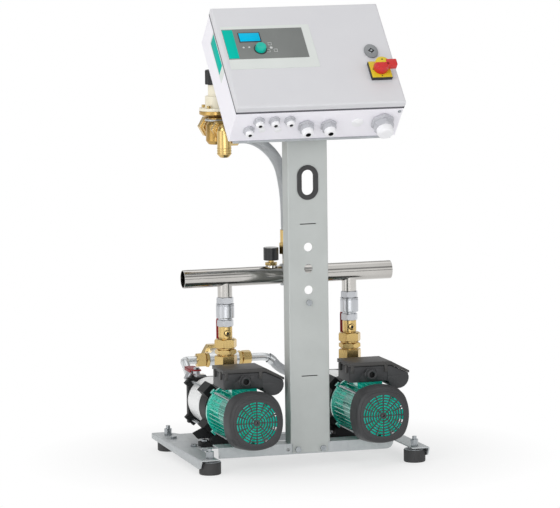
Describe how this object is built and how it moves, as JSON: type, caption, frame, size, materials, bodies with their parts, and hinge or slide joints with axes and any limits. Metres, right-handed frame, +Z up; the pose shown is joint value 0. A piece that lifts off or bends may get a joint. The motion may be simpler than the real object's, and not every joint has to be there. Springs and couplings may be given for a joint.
{
  "type": "pressure maintenance unit",
  "caption": "Floor-standing pressure maintenance unit: a pair of multistage pumps on a sheet base, with a column, discharge header, overflow valve, suction pipework and a tilted control cabinet",
  "frame": {"origin": "on the floor, at the middle of the four rubber feet", "axes": "+Z up, -Y the front that the control cabinet faces, +X to the right seen from the front"},
  "size_m": [0.544, 0.7674, 1.0457],
  "materials": {
    "galvanised_steel": "hot-dip galvanised sheet, fine spangle",
    "zinc_bolts": "zinc-plated",
    "black_rubber": "moulded rubber",
    "stainless_steel": "drawn stainless tube, fairly glossy",
    "brass": "turned brass, glossy",
    "nickel_brass": "nickel-plated brass",
    "dark_brass": "forged brass",
    "red_lever": "dipped plastic",
    "teal_paint": "semi-gloss paint",
    "dark_plastic": "fine-textured plastic",
    "light_casting": "die-cast",
    "black_casting": "coated casting",
    "pump_sleeve": "pressed stainless steel",
    "copper_winding": "lacquered core and windings",
    "bearing_steel": "ground steel",
    "grey_plastic": "moulded plastic",
    "cream_paint": "painted casting",
    "braided_hose": "woven steel braid",
    "cabinet_paint": "light powder coat",
    "door_paint": "light grey powder coat",
    "panel_film": "printed film with raised bezel",
    "yellow_plastic": "moulded plastic",
    "red_plastic": "moulded plastic",
    "gauge_black": "moulded case with white dial",
    "gland_grey": "polyamide",
    "teal_plastic": "moulded plastic cap",
    "gland_white": "light polyamide",
    "device_grey": "switchgear housings"
  },
  "bodies": {
    "frame": {"base_side_plate_left": "galvanised_steel", "base_side_plate_right": "galvanised_steel", "front_cross_rail": "galvanised_steel", "rear_cross_rail": "galvanised_steel", "column": "galvanised_steel", "manifold_clamp": "galvanised_steel", "valve_arm": "galvanised_steel", "cabinet_bracket": "galvanised_steel", "rubber_feet": "black_rubber", "column_grommet": "black_rubber", "base_fasteners": "zinc_bolts", "tie_rods": "zinc_bolts", "manifold_pipe": "stainless_steel", "suction_pipes": "stainless_steel", "gauge_socket": "brass", "gauge_case": "gauge_black", "check_valves": "nickel_brass", "riser_unions": "dark_brass", "discharge_valves": "brass", "fan_covers": "dark_plastic", "motor_frames": "teal_paint", "motor_stators": "copper_winding", "motor_shields": "light_casting", "motor_bearings": "bearing_steel", "lanterns": "black_casting", "pump_feet": "black_casting", "suction_covers": "black_casting", "stage_casings": "pump_sleeve", "terminal_boxes": "dark_plastic", "terminal_lids": "grey_plastic", "terminal_glands": "gland_grey", "suction_valves": "nickel_brass", "suction_tee": "nickel_brass", "suction_nuts": "brass", "suction_hose": "braided_hose", "overflow_hose": "braided_hose", "overflow_valve_body": "brass", "overflow_fittings": "brass", "overflow_valve_bonnet": "cream_paint", "cabinet_shell": "cabinet_paint", "hinge_arms": "zinc_bolts", "cable_glands": "gland_white", "switchgear": "device_grey"},
    "rotor_left": {"pump_shaft_left": "bearing_steel", "fan_left": "teal_paint"},
    "rotor_right": {"pump_shaft_right": "bearing_steel", "fan_right": "teal_paint"},
    "discharge_handle_left": {"discharge_lever_left": "red_lever"},
    "discharge_handle_right": {"discharge_lever_right": "red_lever"},
    "suction_handle_left": {"suction_lever_left": "red_lever"},
    "suction_handle_right": {"suction_lever_right": "red_lever"},
    "needle": {"gauge_needle": "red_plastic"},
    "adjusting_knob": {"overflow_knob": "dark_plastic"},
    "door": {"cabinet_door": "door_paint", "hinge_pins": "zinc_bolts", "control_panel": "panel_film", "switch_plate": "yellow_plastic"},
    "lock": {"door_lock": "zinc_bolts"},
    "selector": {"control_knob": "teal_plastic"},
    "main_switch": {"switch_handle": "red_plastic"}
  },
  "joints": [
    {"name": "rotor_spin_left", "type": "hinge", "parent": "frame", "child": "rotor_left", "pos_m": [-0.15, -0.2335, 0.12], "axis": [0, 1, 0], "continuous": true},
    {"name": "discharge_valve_left", "type": "hinge", "parent": "frame", "child": "discharge_handle_left", "pos_m": [-0.15, 0.008, 0.22], "axis": [0, -1, 0], "range_deg": [0, 90]},
    {"name": "suction_valve_left", "type": "hinge", "parent": "frame", "child": "suction_handle_left", "pos_m": [-0.15, 0.258, 0.15], "axis": [0, 0, 1], "range_deg": [0, 90]},
    {"name": "rotor_spin_right", "type": "hinge", "parent": "frame", "child": "rotor_right", "pos_m": [0.15, -0.2335, 0.12], "axis": [0, 1, 0], "continuous": true},
    {"name": "discharge_valve_right", "type": "hinge", "parent": "frame", "child": "discharge_handle_right", "pos_m": [0.15, 0.008, 0.22], "axis": [0, 1, 0], "range_deg": [0, 90]},
    {"name": "suction_valve_right", "type": "hinge", "parent": "frame", "child": "suction_handle_right", "pos_m": [0.15, 0.258, 0.15], "axis": [0, 0, -1], "range_deg": [0, 90]},
    {"name": "gauge_reading", "type": "hinge", "parent": "frame", "child": "needle", "pos_m": [-0.038, 0.008, 0.484], "axis": [0, 0, -1], "range_deg": [0, 270]},
    {"name": "overflow_setting", "type": "hinge", "parent": "frame", "child": "adjusting_knob", "pos_m": [-0.166, 0.008, 0.87], "axis": [0, 0, 1], "continuous": true},
    {"name": "door_swing", "type": "hinge", "parent": "frame", "child": "door", "pos_m": [-0.1905, -0.17007, 0.93637], "axis": [0, -0.7071, -0.7071], "range_deg": [0, 120]},
    {"name": "door_lock_turn", "type": "hinge", "parent": "door", "child": "lock", "pos_m": [0.149, -0.17466, 0.9438], "axis": [0, -0.7071, 0.7071], "range_deg": [0, 90]},
    {"name": "selector_turn", "type": "hinge", "parent": "door", "child": "selector", "pos_m": [-0.108, -0.16194, 0.95652], "axis": [0, -0.7071, 0.7071], "continuous": true},
    {"name": "main_switch_turn", "type": "hinge", "parent": "door", "child": "main_switch", "pos_m": [0.155, -0.2178, 0.90066], "axis": [0, -0.7071, 0.7071], "range_deg": [0, 90]}
  ]
}
